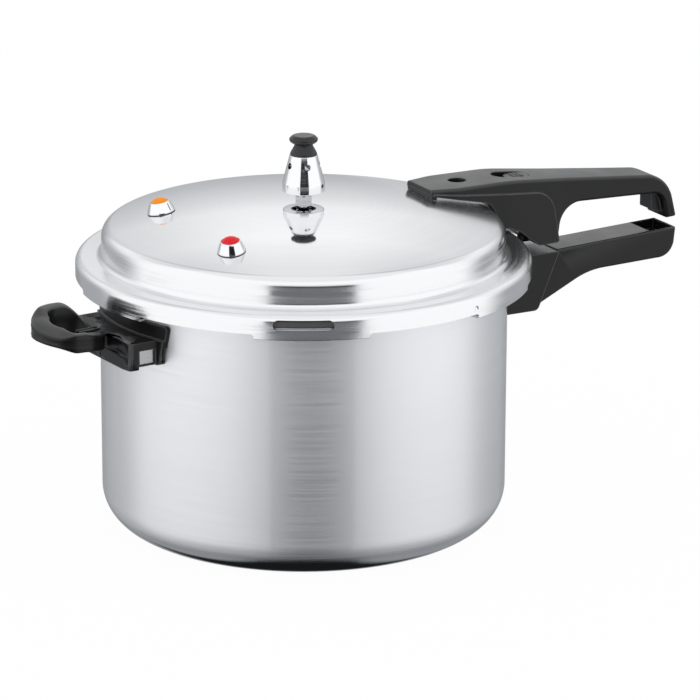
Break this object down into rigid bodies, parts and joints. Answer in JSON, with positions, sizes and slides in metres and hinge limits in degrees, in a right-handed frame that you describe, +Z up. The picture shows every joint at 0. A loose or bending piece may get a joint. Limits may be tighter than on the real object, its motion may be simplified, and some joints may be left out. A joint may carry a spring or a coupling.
{
  "type": "stove-top pressure canner",
  "caption": "Aluminium pressure canner with a domed twist-lock lid, jiggler weight, spring valves, hooked long handles and a ring-shaped helper handle.",
  "frame": {"origin": "centre of the flat underside of the pot", "axes": "+Z up the pot's axis, +X towards the tips of the two long handles"},
  "size_m": [0.441, 0.274, 0.2393],
  "materials": {
    "pot_aluminium": "satin, spun",
    "lid_aluminium": "polished",
    "black_moulding": "satin",
    "knob_black": "gloss",
    "steel": "satin",
    "fastener": "bright",
    "chrome": "polished",
    "grey_rubber": "matte",
    "red_button": "gloss",
    "amber_button": "gloss"
  },
  "bodies": {
    "pot": {"pot_body": "pot_aluminium", "pot_handle_bracket": "steel", "pot_handle_rivets": "fastener", "pot_handle": "black_moulding", "pot_handle_screw": "fastener", "helper_bracket": "steel", "helper_rivets": "fastener", "helper_saddle": "black_moulding", "helper_handle": "black_moulding", "helper_screw": "fastener"},
    "lid": {"lid_shell": "lid_aluminium", "lid_gasket": "grey_rubber", "vent_pipe": "chrome", "vent_seal": "grey_rubber", "vent_nut": "fastener", "vent_screen": "steel", "lid_handle_strap": "steel", "lid_handle_rivets": "fastener", "lid_handle": "black_moulding", "lid_handle_screw": "fastener", "red_valve_collar": "chrome", "red_valve_washer": "grey_rubber", "red_valve_nut": "fastener", "red_valve_spring": "steel", "amber_valve_collar": "chrome", "amber_valve_washer": "grey_rubber", "amber_valve_nut": "fastener", "amber_valve_spring": "steel", "float_bush": "steel", "float_nut": "fastener"},
    "weight": {"weight_bell": "chrome", "weight_needle": "steel", "weight_knob": "knob_black"},
    "red_valve": {"red_valve_stem": "steel", "red_valve_disc": "grey_rubber", "red_valve_button": "red_button"},
    "amber_valve": {"amber_valve_stem": "steel", "amber_valve_disc": "grey_rubber", "amber_valve_button": "amber_button"},
    "float": {"float_pin": "steel", "float_seal": "grey_rubber", "float_cap": "steel"},
    "lock": {"lock_button": "black_moulding", "lock_bolt": "steel", "lock_screw": "fastener"}
  },
  "joints": [
    {"name": "lid_twist", "type": "hinge", "parent": "pot", "child": "lid", "pos_m": [0, 0, 0.16], "axis": [0, 0, 1], "range_deg": [0, 30]},
    {"name": "weight_lift", "type": "slide", "parent": "lid", "child": "weight", "axis": [0, 0, 1], "range_m": [0, 0.022]},
    {"name": "red_valve_rise", "type": "slide", "parent": "lid", "child": "red_valve", "axis": [-0.1545, -0.1082, 0.982], "range_m": [0, 0.003], "stiffness_N_per_m": 600, "springref_m": -0.003, "deforming": ["red_valve_spring"]},
    {"name": "amber_valve_rise", "type": "slide", "parent": "lid", "child": "amber_valve", "axis": [-0.1541, 0.0819, 0.9847], "range_m": [0, 0.003], "stiffness_N_per_m": 600, "springref_m": -0.003, "deforming": ["amber_valve_spring"]},
    {"name": "float_rise", "type": "slide", "parent": "lid", "child": "float", "axis": [0.2122, 0, 0.9772], "range_m": [0, 0.004]},
    {"name": "lock_slide", "type": "slide", "parent": "lid", "child": "lock", "axis": [-1, 0, 0], "range_m": [0, 0.008]}
  ]
}
